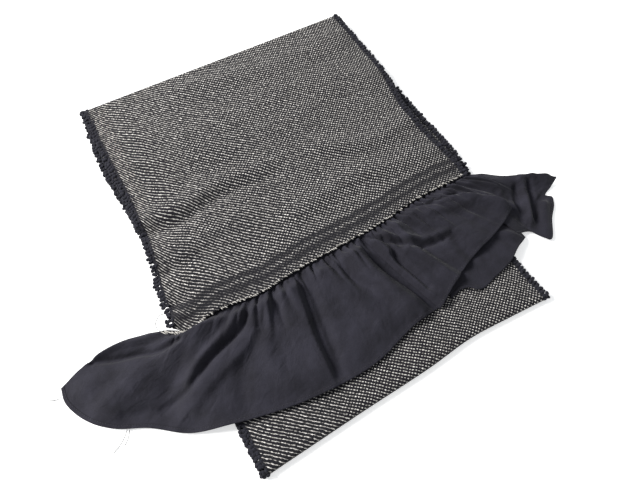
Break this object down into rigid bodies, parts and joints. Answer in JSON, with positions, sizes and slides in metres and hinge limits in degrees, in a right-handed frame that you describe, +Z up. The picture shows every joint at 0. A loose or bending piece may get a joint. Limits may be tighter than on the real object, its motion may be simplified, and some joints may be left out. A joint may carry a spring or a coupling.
{
  "type": "scarf",
  "caption": "Folded woven wool scarf in black and ivory with knotted black edges and a gathered dark cotton ruffle sewn across its end.",
  "frame": {"origin": "middle of the outline, on the surface the scarf lies on", "axes": "+X across the cloth towards the short end of the ruffle, +Y along the cloth towards the back fold, +Z up"},
  "size_m": [0.5822, 0.437, 0.0206],
  "materials": {
    "wool_cloth": "coarse plain weave of ivory warp and black weft, matte",
    "black_wool": "knotted black wool yarn, matte and fuzzy",
    "washed_cotton": "thin washed cotton, soft, faint sheen on the folds",
    "sewing_thread": "fine polyester sewing thread"
  },
  "bodies": {
    "folded_base": {"lower_leaf": "wool_cloth", "middle_leaf": "wool_cloth", "front_fold": "wool_cloth", "front_fold_selvage_left": "black_wool", "front_fold_selvage_right": "black_wool", "lower_selvage_left": "black_wool", "lower_selvage_right": "black_wool", "middle_selvage_left": "black_wool", "middle_selvage_right": "black_wool", "back_fold": "wool_cloth", "back_fold_selvage_left": "black_wool", "back_fold_selvage_right": "black_wool"},
    "turning_leaf": {"upper_leaf": "wool_cloth", "heavy_pick_back": "black_wool", "border_between_picks": "wool_cloth", "heavy_pick_front": "black_wool", "end_border": "wool_cloth", "upper_selvage_left": "black_wool", "upper_selvage_right": "black_wool", "seam_allowance": "washed_cotton", "joining_stitching": "sewing_thread", "main_gathers": "washed_cotton", "upper_gathers": "washed_cotton", "end_gathers": "washed_cotton"},
    "ruffle": {"ruffle_main": "washed_cotton", "ruffle_upper": "washed_cotton", "ruffle_lower": "washed_cotton", "ruffle_end": "washed_cotton", "ruffle_side_hem": "washed_cotton", "hem_main": "washed_cotton", "hem_upper": "washed_cotton", "hem_lower": "washed_cotton", "hem_end": "washed_cotton", "hem_stitching_main": "sewing_thread", "hem_stitching_upper": "sewing_thread", "hem_stitching_lower": "sewing_thread", "hem_stitching_end": "sewing_thread", "tail_left_corner": "sewing_thread", "tail_hem_long": "sewing_thread", "tail_hem_short": "sewing_thread"}
  },
  "joints": [
    {"name": "leaf_turns_back", "type": "hinge", "parent": "folded_base", "child": "turning_leaf", "pos_m": [0, 0.2137, 0.0118], "axis": [-1, 0, 0], "range_deg": [0, 150], "deforming": ["back_fold", "back_fold_selvage_left", "back_fold_selvage_right"]},
    {"name": "ruffle_lifts", "type": "hinge", "parent": "turning_leaf", "child": "ruffle", "pos_m": [0, -0.0615, 0.014], "axis": [-1, 0, 0], "range_deg": [0, 90], "deforming": ["main_gathers", "upper_gathers", "end_gathers"]}
  ]
}
